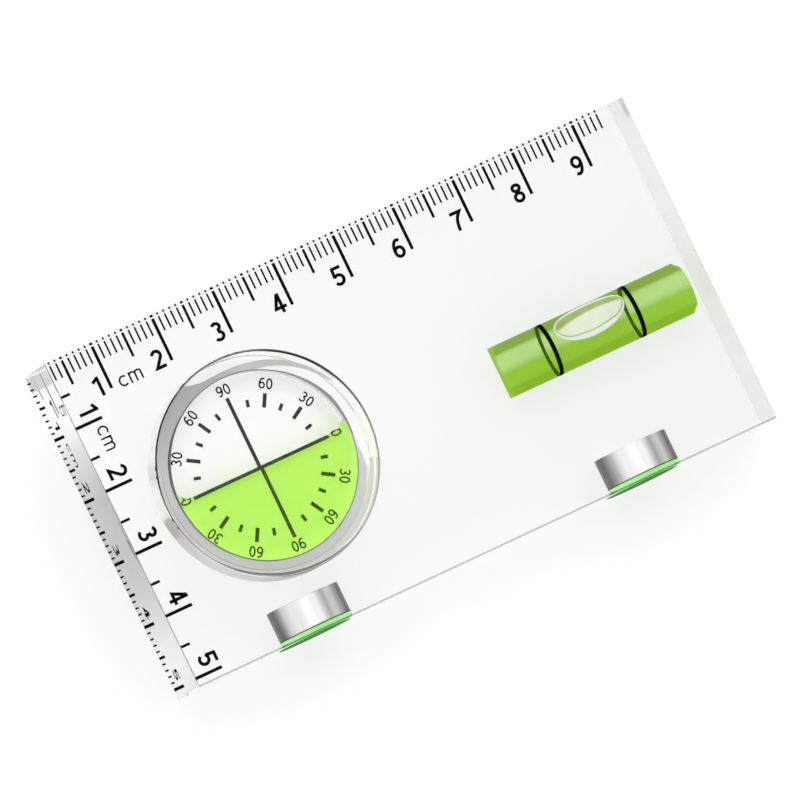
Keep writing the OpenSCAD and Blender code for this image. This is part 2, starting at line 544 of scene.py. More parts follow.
@dataclass(frozen=True)
class PrintInk(Finish):
    """Flat screen-printed ink with slightly uneven cover, which has no gloss of its own under acrylic."""

    colour: Colour = (0.006, 0.006, 0.007)
    stray: float = 0.3
    # Spots per metre, and how many finer layers they have
    grain: Point = (2500.0, 4.0)
    roughness: Point = (0.55, 0.75)

    def shade(self, graph: Graph) -> None:
        """Sets up matt ink."""
        grain = graph.noise(*self.grain)
        rough = graph.spread(grain, *self.roughness)
        graph.dress(Specular_IOR_Level=0.0, Base_Color=self.tone(graph, grain), Roughness=rough)

    def tone(self, graph: Graph, grain: Socket) -> Socket:
        """Colour of the ink."""
        return graph.tint(grain, self.colour, self.stray)


@dataclass(frozen=True)
class RingPaint(PrintInk):
    """Black paint of a vial ring, thin enough on the far side for the green to come through."""

    far: Colour = (0.06, 0.16, 0.008)
    far_stray: float = 0.2
    near_from: Point = (5.15, 5.95)

    def tone(self, graph: Graph, grain: Socket) -> Socket:
        """Colour of the paint, which turns green below the vial's axis."""
        near = graph.rise(graph.along("Object", "Z"), *self.near_from, MM)
        return graph.blend(near, graph.tint(grain, self.far, self.far_stray), super().tone(graph, grain))


@dataclass(frozen=True)
class MattPlastic(Finish):
    """Matt plastic sheet whose back may be greyer than its front, as painted shade."""

    front: Colour = (0.97, 0.97, 0.97)
    # Colour of the back, painted greyer as shade
    back: Colour = (0.97, 0.97, 0.97)
    front_stray: float = 0.015
    back_stray: float = 0.02
    # Upward lean of the normal at which the back turns into the front
    back_to: Point = (-0.9, -0.5)
    grain: float = 1200.0
    gloss: float = 0.1
    roughness: Point = (0.6, 0.8)

    def shade(self, graph: Graph) -> None:
        """Sets up plastic with a fine grain."""
        grain = graph.noise(self.grain)
        up = graph.rise(graph.along("Normal", "Z"), *self.back_to)
        # The back takes its painted shade
        shaded_back = graph.tint(grain, self.back, self.back_stray)
        over = graph.tint(grain, self.front, self.front_stray)
        rough = graph.spread(grain, *self.roughness)
        graph.dress(Specular_IOR_Level=self.gloss, Base_Color=graph.blend(up, shaded_back, over), Roughness=rough)


@dataclass(frozen=True)
class TintedLiquid(Finish):
    """Clear coloured liquid."""

    colour: Colour = (0.725, 1.0, 0.38)
    index: float = 1.36
    clearness: float = 1.0
    stray: float = 0.015
    cloud: float = 150.0

    def shade(self, graph: Graph) -> None:
        """Sets up a clear tint that varies a little."""
        colour = self.tone(graph, graph.noise(self.cloud))
        graph.dress(Transmission_Weight=self.clearness, IOR=self.index, Roughness=0.0, Base_Color=colour)

    def tone(self, graph: Graph, cloud: Socket) -> Socket:
        """Colour of the liquid."""
        return graph.tint(cloud, self.colour, self.stray)


@dataclass(frozen=True)
class VialLiquid(TintedLiquid):
    """Green liquid of the vial, tinted at the back in stripes of painted highlight and painted shade."""

    stray: float = 0.03
    clear: Colour = (0.99, 1.0, 0.98)
    clear_stray: float = 0.005
    clear_from: Point = (6.05, 6.65)
    striped_from: Point = (15.0, 15.8)
    # Lean of the normal to the right at the flat end, and how much less the end shows of the stripes
    end_lean: Point = (0.95, 0.8)
    end_depth: float = 0.35
    # Stripes of painted highlight and shade across the vial: a pale band for the light it catches, darker bands
    # towards its sides
    stripes: tuple[tuple[float, Colour], ...] = (
        (0.0, (0.045, 0.12, 0.009)), (0.07, (0.0855, 0.296, 0.0011)), (0.18, (0.0855, 0.296, 0.0011)),
        (0.24, (0.133, 0.428, 0.0034)), (0.455, (0.133, 0.428, 0.0034)), (0.565, (0.29, 0.62, 0.075)),
        (0.62, (0.315, 0.658, 0.083)), (0.73, (0.315, 0.658, 0.083)), (0.78, (0.28, 0.6, 0.07)),
        (0.836, (0.077, 0.218, 0.0056)), (0.945, (0.077, 0.218, 0.0056)), (1.0, (0.035, 0.07, 0.013)),
    )

    def tone(self, graph: Graph, cloud: Socket) -> Socket:
        """Colour of the liquid, clear at the front and green at the back, in painted highlight and shade."""
        begin = graph.rise(graph.along("Object", "X"), *self.striped_from, MM)
        curved = graph.rise(graph.along("Normal", "X"), *self.end_lean)
        share = graph.both(begin, graph.spread(curved, 1.0 - self.end_depth, 1.0))
        shaded = graph.ramp(graph.along("Generated", "Y"), self.stripes)
        back = graph.blend(share, super().tone(graph, cloud), shaded)
        front = graph.both(graph.rise(graph.along("Object", "Z"), *self.clear_from, MM), curved)
        return graph.blend(front, back, graph.tint(cloud, self.clear, self.clear_stray))


@dataclass(frozen=True)
class BubbleSkin(Finish):
    """Bubble skin: a painted highlight at the rim, painted shade under its upper edge, pale green in the
    middle.

    The rim is measured by height: it lies where the skin is lower than a share of the bubble's half height.
    """

    # Painted highlight of the rim
    rim: Colour = (1.0, 1.0, 1.0)
    rim_stray: float = 0.01
    # Height of the rim at the lower and the upper side, and where along Y it goes from one to the other
    rim_heights: Point = (0.66, 0.5)
    rim_change: Point = (0.4, 0.65)
    rim_fade: Point = (0.02, -0.02)
    # Share of the rim's height that is left at the bubble's ends, and where it begins to go down
    end_share: float = 0.55
    end_reach: Point = (0.2, 1.0)
    # Painted shade of a thin line inside the rim
    line: Colour = (0.5, 0.68, 0.27)
    line_heights: Point = (0.1, 0.06)
    # Painted shade under the upper edge
    shadow: Colour = (0.42, 0.55, 0.22)
    shadow_lean: float = 0.1
    shadow_bend: float = 0.15
    shadow_heights: Point = (0.66, 0.76)
    dark_stray: float = 0.1
    middle: Colour = (0.94, 1.0, 0.82)
    middle_stray: float = 0.05
    cloud: float = 600.0
    index: float = 1.02
    veil: float = 0.96
    roughness: float = 0.25

    def shade(self, graph: Graph) -> None:
        """Sets up a pale skin with painted shade and a painted highlight at the rim, wider at the lower side.
        """
        cloud = graph.noise(self.cloud)
        along = graph.along("Generated", "X")
        across = graph.along("Generated", "Y")
        outward = self._from_middle(graph, along)
        limit = graph.spread(graph.rise(across, *self.rim_change), *self.rim_heights)
        limit = graph.both(limit, graph.spread(graph.rise(outward, *self.end_reach), 1.0, self.end_share))
        above = graph.calc("SUBTRACT", self._from_middle(graph, graph.along("Generated", "Z")), limit)
        lean = graph.calc("SUBTRACT", across, graph.both(along, self.shadow_lean))
        bend = graph.both(graph.calc("POWER", outward, 2.0), self.shadow_bend)
        dark = graph.rise(graph.calc("ADD", lean, bend), *self.shadow_heights)
        skin = graph.tint(cloud, self.middle, self.middle_stray)
        skin = graph.blend(dark, skin, graph.tint(cloud, self.shadow, self.dark_stray))
        line_shade = graph.rise(above, *self.line_heights)
        skin = graph.blend(line_shade, skin, graph.tint(cloud, self.line, self.dark_stray))
        # The rim takes its painted highlight
        rim = graph.rise(above, *self.rim_fade)
        skin = graph.blend(rim, skin, graph.tint(cloud, self.rim, self.rim_stray))
        graph.dress(IOR=self.index, Specular_IOR_Level=0.0, Roughness=self.roughness)
        graph.dress(Transmission_Weight=1.0 - self.veil, Base_Color=skin)

    def _from_middle(self, graph: Graph, share: Socket) -> Socket:
        """Distance from the middle of the piece's box, where the share is 0.5, up to 1 at its sides."""
        return graph.calc("ABSOLUTE", graph.spread(share, -1.0, 1.0))


@dataclass(frozen=True)
class NickelPlate(Finish):
    """Satin nickel plate, with painted reflections of light and shade in bands across the disc."""

    # Painted reflections of light and shade: brightness at places across the disc
    bands: tuple[Point, ...] = (
        (0.0, 0.15), (0.04, 0.18), (0.08, 0.37), (0.12, 0.66), (0.165, 0.81), (0.21, 0.92), (0.24, 1.0),
        (0.52, 1.0), (0.56, 0.98), (0.616, 0.7), (0.672, 0.46), (0.73, 0.7), (0.79, 0.82), (0.85, 0.48),
        (0.92, 0.13), (1.0, 0.08),
    )
    warmth: float = 0.985
    wear: float = 0.08
    # Turned lines per metre along each axis, and how many finer layers they have
    lines: tuple[float, float, float] = (40.0, 9000.0, 40.0)
    line_detail: float = 2.0
    roughness: Point = (0.3, 0.42)

    def shade(self, graph: Graph) -> None:
        """Sets up metal with painted reflections and fine turned lines."""
        painted_reflection = graph.greys(graph.along("Generated", "X"), self.bands, self.warmth)
        place = graph.add("ShaderNodeTexCoord")
        stretch = graph.add("ShaderNodeMapping", Scale=self.lines)
        graph.join(place.outputs["Object"], stretch.inputs["Vector"])
        texture = graph.add("ShaderNodeTexNoise", Scale=1.0, Detail=self.line_detail)
        graph.join(stretch.outputs["Vector"], texture.inputs["Vector"])
        lines = texture.outputs["Fac"]
        reflection_and_wear = graph.blend(self.wear, painted_reflection, lines, "MULTIPLY")
        graph.dress(Metallic=1.0, Base_Color=reflection_and_wear, Roughness=graph.spread(lines, *self.roughness))


@dataclass(frozen=True)
class CapPlastic(Finish):
    """Green plastic cap, painted bright at its rim, in painted shade at and by its face, dark along the magnet.
    """

    # Painted light of the rim, a lit copy of the cap's green
    rim: Colour = (0.5, 1.0, 0.42)
    rim_stray: float = 0.05
    # Painted shade of the outer face and of the side next to it
    face: Colour = (0.09, 0.25, 0.065)
    face_stray: float = 0.1
    # Inward lean of the normal at which the outer face turns into the rim
    face_to: Point = (-0.95, -0.6)
    # Where along the cap the side next to the face takes its painted shade
    face_edge: Point = (0.2, 0.12)
    joint: Colour = (0.1, 0.2, 0.08)
    joint_from: Point = (0.86, 0.92)
    mottle: float = 700.0
    roughness: Point = (0.3, 0.45)

    def shade(self, graph: Graph) -> None:
        """Sets up plastic with faint mottling, and painted light and shade."""
        mottle = graph.noise(self.mottle)
        depth = graph.along("Generated", "Y")
        inward = graph.rise(graph.along("Normal", "Y"), *self.face_to)
        face = graph.tint(mottle, self.face, self.face_stray)
        side = graph.tint(mottle, self.rim, self.rim_stray)
        side = graph.blend(graph.rise(depth, *self.joint_from), side, graph.tint(mottle, self.joint))
        side = graph.blend(graph.rise(depth, *self.face_edge), side, face)
        rough = graph.spread(mottle, *self.roughness)
        graph.dress(Specular_IOR_Level=0.0, Base_Color=graph.blend(inward, face, side), Roughness=rough)


@dataclass(frozen=True)
class SeamGrey(Finish):
    """Matt hoop of painted shade at a round joint, whose shade changes along the round."""

    shades: tuple[Point, ...] = ((0.0, 0.5), (1.0, 0.5))
    centre: Point = DIAL_CENTRE
    warmth: float = 0.985
    lip: float = 0.0
    lip_fade: float = 0.03
    lip_shade: float = 0.2
    lip_warmth: float = 0.95
    grain: float = 900.0
    roughness: Point = (0.6, 0.8)

    def shade(self, graph: Graph) -> None:
        """Sets up the painted shades along the round, and a darker painted lip at its inner edge."""
        grain = graph.noise(self.grain)
        radius, turn = graph.polar(self.centre)
        along = graph.greys(turn, self.shades, self.warmth)
        dark = graph.tint(grain, (self.lip_shade, self.lip_shade, self.lip_shade * self.lip_warmth))
        outer = graph.rise(radius, self.lip - self.lip_fade, self.lip + self.lip_fade, MM)
        rough = graph.spread(grain, *self.roughness)
        graph.dress(Specular_IOR_Level=0.0, Base_Color=graph.blend(outer, dark, along), Roughness=rough)


@dataclass(frozen=True)
class Paper:
    """Matt white paper of the floor, which shows nearly plain white and keeps a soft shadow."""

    name: str = "white_paper"
    colour: Colour = (0.98, 0.98, 0.98)
    stray: float = 0.01
    cloud: float = 3.0
    roughness: float = 0.9
    glow: float = 0.65

    def material(self) -> bpy.types.Material:
        """Material of the floor.

        Returns:
            The material.
        """
        made = bpy.data.materials.new(self.name)
        made.use_nodes = True
        graph = Graph(made.node_tree)
        colour = graph.tint(graph.noise(self.cloud), self.colour, self.stray)
        graph.dress(Specular_IOR_Level=0.0, Roughness=self.roughness, Base_Color=colour)
        path = graph.add("ShaderNodeLightPath").outputs
        seen = graph.calc("MAXIMUM", path["Is Camera Ray"], path["Is Glossy Ray"])
        seen = graph.calc("MAXIMUM", seen, path["Is Transmission Ray"])
        white = graph.add("ShaderNodeEmission")
        graph.mix(graph.both(seen, self.glow), white.outputs["Emission"])
        return made


CLEAR = BlockAcrylic("polished_acrylic", Slot.CLEAR_ACRYLIC)
DIAL_CLEAR = ClearAcrylic("moulded_acrylic", Slot.CLEAR_ACRYLIC)
# The sheet's back is painted grey, as shade under the dial
WHITE = MattPlastic("white_sheet", Slot.WHITE_FACE, (0.99, 0.99, 0.99), (0.8, 0.8, 0.8))
# Hoops of painted shade at the dial's rim, each with its shades in turns about the dial
JOINT_PAINTED_SHADE = SeamGrey("joint_painted_shade", Slot.WHITE_FACE, (
    (0.0, 0.78), (0.1, 0.82), (0.35, 0.84), (0.42, 0.88), (0.5, 0.9), (0.57, 0.9), (0.62, 0.82),
    (0.71, 0.78), (0.75, 0.65), (0.78, 0.6), (0.86, 0.63), (0.925, 0.74), (0.95, 0.8),
))
STEP_PAINTED_SHADE = SeamGrey("step_painted_shade", Slot.WHITE_FACE, (
    (0.0, 0.82), (0.1, 0.88), (0.35, 0.88), (0.42, 0.97), (0.8, 1.0), (0.95, 0.85),
), lip=15.34, lip_shade=0.4)
LIP_PAINTED_SHADE = SeamGrey("lip_painted_shade", Slot.WHITE_FACE, (
    (0.0, 0.2), (0.1, 0.25), (0.4, 0.25), (0.5, 0.4), (0.62, 0.4), (0.7, 0.25), (0.8, 0.25), (0.87, 0.18),
    (0.97, 0.18),
))
BEAD_PAINTED_SHADE = SeamGrey("bead_painted_shade", Slot.WHITE_FACE, (
    (0.0, 0.1), (0.03, 0.12), (0.08, 0.4), (0.14, 0.3), (0.27, 0.3), (0.33, 0.4), (0.43, 0.4), (0.5, 0.12),
    (0.56, 0.03), (0.6, 0.01), (0.67, 0.01), (0.71, 0.12), (0.82, 0.12), (0.835, 0.01), (0.965, 0.01),
    (0.99, 0.1),
))
# Painted reflection of the lime in the capsule's wall
GLINT = TintedLiquid("lime_glint", Slot.LIME_LIQUID, (0.92, 1.0, 0.78), index=1.0)
GREY_INK = PrintInk("printed_grey", Slot.GREY_INK, (0.05, 0.05, 0.052))
BLACK_INK = PrintInk("printed_black", Slot.BLACK_INK)
RING_BLACK = RingPaint("ring_black", Slot.BLACK_INK)
LIME = TintedLiquid("lime_fluid", Slot.LIME_LIQUID, (0.75, 1.0, 0.4), clearness=0.97)
GREEN = VialLiquid("green_vial", Slot.GREEN_LIQUID, (0.11, 0.36, 0.002), index=1.03)
AIR = BubbleSkin("air_pocket", Slot.BUBBLE_AIR)
NICKEL = NickelPlate("nickel_plate", Slot.PLATED_MAGNET)
CAP_GREEN = CapPlastic("cap_green", Slot.GREEN_CAP)


class Shape:
    """A mesh under construction, in millimetres, made of one or more closed shells."""

    def __init__(self) -> None:
        """Starts with no faces."""
        self.mesh = bmesh.new()

    def _close(self, faces: Iterable[bmesh.types.BMFace], hollow: bool = False) -> None:
        """Turns a new shell's faces outwards, or inwards for a hollow."""
        shell = list(faces)
        bmesh.ops.recalc_face_normals(self.mesh, faces=shell)
        if hollow:
            bmesh.ops.reverse_faces(self.mesh, faces=shell)

    def lathe(
        self, outline: Sequence[Point], place: Matrix, hollow: bool = False, steps: int = ROUND
    ) -> "Shape":
        """Turns an outline about the local Z axis.

        Args:
            outline: Points (radius, height). It starts and ends on the axis, or else it is closed.
            place: Where the axis stands.
            hollow: True for a cavity in another shell.
            steps: Sides of the round.

        Returns:
            This shape.
        """
        rings = []
        for radius, height in outline:
            turns = [2 * math.pi * k / steps for k in range(steps)] if radius > 0 else [0.0]
            rings.append([
                self.mesh.verts.new(place @ Vector((radius * math.cos(t), radius * math.sin(t), height)))
                for t in turns
            ])
        if outline[0][0] > 0:
            rings.append(rings[0])
        faces = []
        for low, high in zip(rings, rings[1:]):
            for k in range(steps):
                corners = [low[k % len(low)], low[(k + 1) % len(low)]]
                corners += [high[(k + 1) % len(high)], high[k % len(high)]]
                corners = list(dict.fromkeys(corners))
                if len(corners) > 2:
                    faces.append(self.mesh.faces.new(corners))
        self._close(faces, hollow)
        return self

    def prism(self, outline: Sequence[Point], low: float, high: float, place: Matrix) -> "Shape":
        """Raises a flat outline.

        Args:
            outline: Points (x, y) in order.
            low: Height of the lower face.
            high: Height of the upper face.
            place: Where the outline's own frame lies.

        Returns:
            This shape.
        """
        lower = [self.mesh.verts.new(place @ Vector((x, y, low))) for x, y in outline]
        upper = [self.mesh.verts.new(place @ Vector((x, y, high))) for x, y in outline]
        faces = [self.mesh.faces.new(lower[::-1]), self.mesh.faces.new(upper)]
        for k in range(len(outline)):
            n = (k + 1) % len(outline)
            faces.append(self.mesh.faces.new([lower[k], lower[n], upper[n], upper[k]]))
        self._close(faces)
        return self

    def band(
        self, left: Sequence[Point], right: Sequence[Point], low: float, high: float, place: Matrix,
        closed: bool,
    ) -> "Shape":
        """Raises the strip between two lines.

        Args:
            left: Points of one side of the strip.
            right: Points of the other side, as many.
            low: Height of the lower face.
            high: Height of the upper face.
            place: Where the strip's own frame lies.
            closed: True if the strip's end meets its start.

        Returns:
            This shape.
        """
        rows = []
        for (lx, ly), (rx, ry) in zip(left, right):
            corners = [(lx, ly, low), (rx, ry, low), (rx, ry, high), (lx, ly, high)]
            rows.append([self.mesh.verts.new(place @ Vector(corner)) for corner in corners])
        self._skin(rows, closed)
        return self

    def loop(self, corners: Sequence[Sequence[Vector]], closed: bool = True) -> "Shape":
        """Covers four-cornered cross-sections, which make a hoop or a part of one.

        Args:
            corners: Four corners of each cross-section, in order along the hoop.
            closed: True if the hoop's end meets its start.

        Returns:
            This shape.
        """
        self._skin([[self.mesh.verts.new(corner) for corner in row] for row in corners], closed)
        return self

    def _skin(self, rows: Sequence[Sequence[bmesh.types.BMVert]], closed: bool) -> None:
        """Covers a row of four-cornered cross-sections, and its two ends unless it is closed."""
        faces = []
        follow = [*rows[1:], rows[0]] if closed else rows[1:]
        for this, after in zip(rows, follow):
            for k in range(4):
                n = (k + 1) % 4
                faces.append(self.mesh.faces.new([this[k], this[n], after[n], after[k]]))
        if not closed:
            faces.append(self.mesh.faces.new(rows[0][::-1]))
            faces.append(self.mesh.faces.new(rows[-1]))
        self._close(faces)

    def piece(
        self, name: str, finish: Finish, body: Body = Body.BLOCK, stands_for: Sequence[str] = (),
        sharp: float = SHARP_ANGLE,
    ) -> bpy.types.Object:
        """Makes the shape a piece of the level.

        Args:
            name: Name of the piece.
            finish: Look of its surface.
            body: Body that it moves with.
            stands_for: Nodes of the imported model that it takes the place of.
            sharp: Edges that turn by more than this stay sharp.

        Returns:
            The new object.
        """
        for face in self.mesh.faces:
            face.smooth = True
        for edge in self.mesh.edges:
            edge.smooth = edge.calc_face_angle(0.0) < sharp
        bmesh.ops.scale(self.mesh, vec=(MM, MM, MM), verts=self.mesh.verts)
        data = bpy.data.meshes.new(name)
        self.mesh.to_mesh(data)
        self.mesh.free()
        data.materials.append(finish.material())
        made = bpy.data.objects.new(name, data)
        bpy.context.scene.collection.objects.link(made)
        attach(made, body.value)
        if stands_for:
            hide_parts(*stands_for)
        LOG.info("%s: %d faces, on %s", name, len(data.polygons), body.value)
        return made


def rounded(radius: float, low: float, high: float, edge: float, steps: int = 4) -> list[Point]:
    """Outline of a round disc or rod whose two edges are rounded.

    Args:
        radius: Radius of the disc.
        low: Height of its lower face.
        high: Height of its upper face.
        edge: Radius of the rounded edges.
        steps: Facets on each edge.

    Returns:
        Points (radius, height) from axis to axis.
    """
    turns = [math.radians(90 * k / steps) for k in range(steps + 1)]
    bend = [(radius - edge + edge * math.sin(t), low + edge - edge * math.cos(t)) for t in turns]
    lower = [(radius - edge - HOLD, low), *bend, (radius, low + edge + HOLD)]
    upper = [(r, low + high - z) for r, z in reversed(lower)]
    return [(0.0, low), *lower, *upper, (0.0, high)]


def arc(middle: Point, radii: Point, start: float, end: float, steps: int = 20) -> list[Point]:
    """Points along an upright ellipse.

    Args:
        middle: Middle of the ellipse.
        radii: Half its width and half its height.
        start: Angle of the first point, in degrees.
        end: Angle of the last point, in degrees.
        steps: Stretches between the points.

    Returns:
        The points.
    """
    turns = [math.radians(start + (end - start) * k / steps) for k in range(steps + 1)]
    return [(middle[0] + radii[0] * math.cos(t), middle[1] + radii[1] * math.sin(t)) for t in turns]


@dataclass(frozen=True)
class Stroke:
    """One pen stroke of a character, along its middle line."""

    line: list[Point]
    closed: bool = False

    def sides(self, weight: float) -> tuple[list[Point], list[Point]]:
        """Lines at both sides of the stroke, mitred at its corners.

        Args:
            weight: Width of the stroke.

        Returns:
            The left line and the right line.
        """
        points = [Vector(p) for p in self.line]
        count = len(points)
        left = []
        right = []
        for k, point in enumerate(points):
            before = points[k - 1] if k > 0 or self.closed else None
            after = points[(k + 1) % count] if k < count - 1 or self.closed else None
            ways = []
            if before is not None:
                ways.append((point - before).normalized())
            if after is not None:
                ways.append((after - point).normalized())
            across = [Vector((-w.y, w.x)) for w in ways]
            normal = sum(across, Vector((0.0, 0.0))).normalized()
            reach = weight / 2 / max(normal.dot(across[0]), MITRE_LIMIT)
            left.append(tuple(point + normal * reach))
            right.append(tuple(point - normal * reach))
        return left, right


@dataclass(frozen=True)
class Lettering:
    """Plain sans-serif numerals and a unit mark, drawn with one pen.

    All lengths but the height itself are shares of a numeral's height.
    """

    height: float
    weight: float
    width: float = 0.62
    gap: float = 0.1

    def strokes(self, sign: str) -> list[Stroke]:
        """Pen strokes of one character.

        Args:
            sign: A numeral, c or m.

        Returns:
            The strokes, on a base line at 0.
        """
        pen = self.weight / 2
        wide = self.width
        mid = wide / 2
        if sign == "0":
            return [Stroke(arc((mid, 0.5), (mid - pen, 0.5 - pen), 0, 360, 40)[:-1], True)]
        if sign == "1":
            stem = 0.4
            flag = Stroke([(stem - 0.3, 0.76), (stem + 0.02, 1 - pen * 0.8)])
            return [Stroke([(stem, 0.0), (stem, 1.0)]), flag]
        if sign == "2":
            bow = arc((mid, 0.7), (mid - pen, 0.3 - pen), 165, -35)
            return [Stroke([*bow, (pen * 1.1, pen), (wide, pen)])]
        if sign == "3":
            upper = arc((mid - 0.03, 0.745), (mid - 0.02 - pen, 0.255 - pen), 150, -90)
            lower = arc((mid - 0.03, 0.285), (mid + 0.01 - pen, 0.285 - pen), 90, -150)
            return [Stroke(upper), Stroke(lower)]
        if sign == "4":
            stem = wide * 0.7
            bar = 0.28
            return [Stroke([(stem - pen * 0.4, 1 - pen * 0.5), (pen, bar), (wide + 0.06, bar)]),
                    Stroke([(stem, 0.0), (stem, 1.0)])]
        if sign == "5":
            bowl = arc((mid - 0.03, 0.32), (mid + 0.02 - pen, 0.32 - pen), 128, -150)
            return [Stroke([(wide - 0.04, 1 - pen), (0.12, 1 - pen), (0.09, 0.53), *bowl])]
        if sign in "69":
            ring = Stroke(arc((mid, 0.32), (mid - pen, 0.32 - pen), 0, 360, 32)[:-1], True)
            tail = Stroke(arc((mid + 0.06, 0.36), (mid + 0.06 - pen, 0.64 - pen), 180, 62, 16))
            if sign == "6":
                return [ring, tail]
            return [Stroke([(wide - x, 1 - y) for x, y in s.line], s.closed) for s in (ring, tail)]
        if sign == "7":
            leg = arc((wide, 0.0), (0.4, 0.86), 115, 180, 10)
            return [Stroke([(0.0, 1 - pen), (wide - pen * 0.6, 1 - pen), *leg])]
        if sign == "8":
            upper = arc((mid, 0.76), (mid - 0.03 - pen, 0.24 - pen), 0, 360, 32)[:-1]
            lower = arc((mid, 0.285), (mid - pen, 0.285 - pen), 0, 360, 32)[:-1]
            return [Stroke(upper, True), Stroke(lower, True)]
        low_case = 0.74
        half = low_case / 2
        if sign == "c":
            return [Stroke(arc((half, half), (half - 0.02 - pen, half - pen), 48, 312, 28))]
        if sign == "m":
            arch = 0.2
            legs = [pen, pen + 2 * arch, pen + 4 * arch]
            made = [Stroke([(legs[0], 0.0), (legs[0], low_case)])]
            for leg in legs[:-1]:
                bow = arc((leg + arch, low_case - arch - pen * 0.4), (arch, arch - pen * 0.6), 180, 0, 12)
                made.append(Stroke([*bow, (leg + 2 * arch, 0.0)]))
            return made
        raise ValueError(sign)

    def advance(self, sign: str) -> float:
        """Width of one character."""
        return {"1": 0.5, "c": 0.68, "m": 0.8 + self.weight}.get(sign, self.width)

    def write(self, shape: Shape, text: str, place: Matrix, low: float, high: float) -> None:
        """Writes a word, centred on a place.

        Args:
            shape: Shape that the strokes are added to.
            text: The word.
            place: Frame with its origin at the word's middle, X along the word and Y up.
            low: Height of the ink's lower face, in the frame.
            high: Height of its upper face.
        """
        signs = list(text)
        total = sum(self.advance(s) for s in signs) + self.gap * (len(signs) - 1)
        start = -total / 2
        for sign in signs:
            for stroke in self.strokes(sign):
                sides = [
                    [((start + x) * self.height, (y - 0.5) * self.height) for x, y in side]
                    for side in stroke.sides(self.weight)
                ]
                shape.band(sides[0], sides[1], low, high, place, stroke.closed)
            start += self.advance(sign) + self.gap


@dataclass
class AcrylicBlock:
    """The clear block.

    The vial, the magnets and the ink are bonded into it, and the dial sits in a pocket. The magnets' caps
    stand a hair proud of the lower wall. The edges are softened, the lower front one most of all, but not at
    the back and along the long ruler.
    """

    edge: float = 0.12
    # How far from its corner a point still counts as part of a softened edge, in shares of the edge
    edge_slack: float = 1.05
    low_edge: float = 0.26
    edge_facets: int = 2
    pocket_fit: float = 0.1
    rim: float = 0.12
    cap_stand: float = 0.02

    def build(self) -> None:
        """Makes the block with its dial pocket."""
        body = Span.of("acrylic_body")
        cup = Span.of("dial_cup")
        shape = Shape()
        bmesh.ops.create_cube(shape.mesh, size=1.0)
        stand = Vector((0.0, self.cap_stand, 0.0))
        bmesh.ops.scale(shape.mesh, vec=body.size - stand, verts=shape.mesh.verts)
        bmesh.ops.translate(shape.mesh, vec=body.middle + stand / 2, verts=shape.mesh.verts)
        softened = [
            edge for edge in shape.mesh.edges
            if any(end.co.y < body.middle.y for end in edge.verts)
            and any(end.co.z > body.middle.z for end in edge.verts)
        ]
        bmesh.ops.bevel(
            shape.mesh, geom=softened, offset=self.edge, segments=self.edge_facets, profile=0.5,
            affect="EDGES", clamp_overlap=True,
        )
        self._widen(shape, Vector((0.0, body.low.y + self.cap_stand, body.high.z)))
        self._open_pocket(shape, cup.middle.xy, cup.size.x / 2 + self.pocket_fit, cup.low.z, body.high.z)
        shape.piece("clear_block", CLEAR, stands_for=["acrylic_body", "vial_bore_plug"], sharp=FLAT_ANGLE)

    def _widen(self, shape: Shape, corner: Vector) -> None:
        """Widens the lower front edge.

        Args:
            shape: The block.
            corner: A point on the line where the front face and the lower wall would meet.
        """
        reach = self.edge_slack * self.edge
        for point in shape.mesh.verts:
            away = point.co - corner
            if away.y < reach and away.z > -reach:
                point.co.yz = corner.yz + away.yz * (self.low_edge / self.edge)

    def _open_pocket(self, shape: Shape, centre: Vector, radius: float, floor: float, top: float) -> None:
        """Cuts the round pocket into the block's front face.

        Args:
            shape: The block.
            centre: Middle of the pocket, in the plane of the front face.
            radius: Radius of the pocket.
            floor: Height of the pocket's floor.
            top: Height of the front face.
        """
        mesh = shape.mesh
        front = max(mesh.faces, key=lambda face: (face.normal.z, face.calc_area()))
        border = list(front.edges)
        mesh.faces.remove(front)
        rings = []
        for ring_radius, height in ((radius + self.rim, top), (radius, top - self.rim), (radius, floor)):
            rings.append([
                mesh.verts.new((x, y, height))
                for x, y in arc(tuple(centre), (ring_radius, ring_radius), 0, 360, ROUND)[:-1]
            ])
        mouth = []
        for k in range(ROUND):
            mouth.append(mesh.edges.new((rings[0][k], rings[0][(k + 1) % ROUND])))
        bmesh.ops.triangle_fill(mesh, edges=border + mouth, use_beauty=True, normal=(0, 0, 1))
        for upper, lower in zip(rings, rings[1:]):
            for k in range(ROUND):
                n = (k + 1) % ROUND
                mesh.faces.new([upper[k], upper[n], lower[n], lower[k]])
        mesh.faces.new(rings[-1])
        bmesh.ops.recalc_face_normals(mesh, faces=mesh.faces)


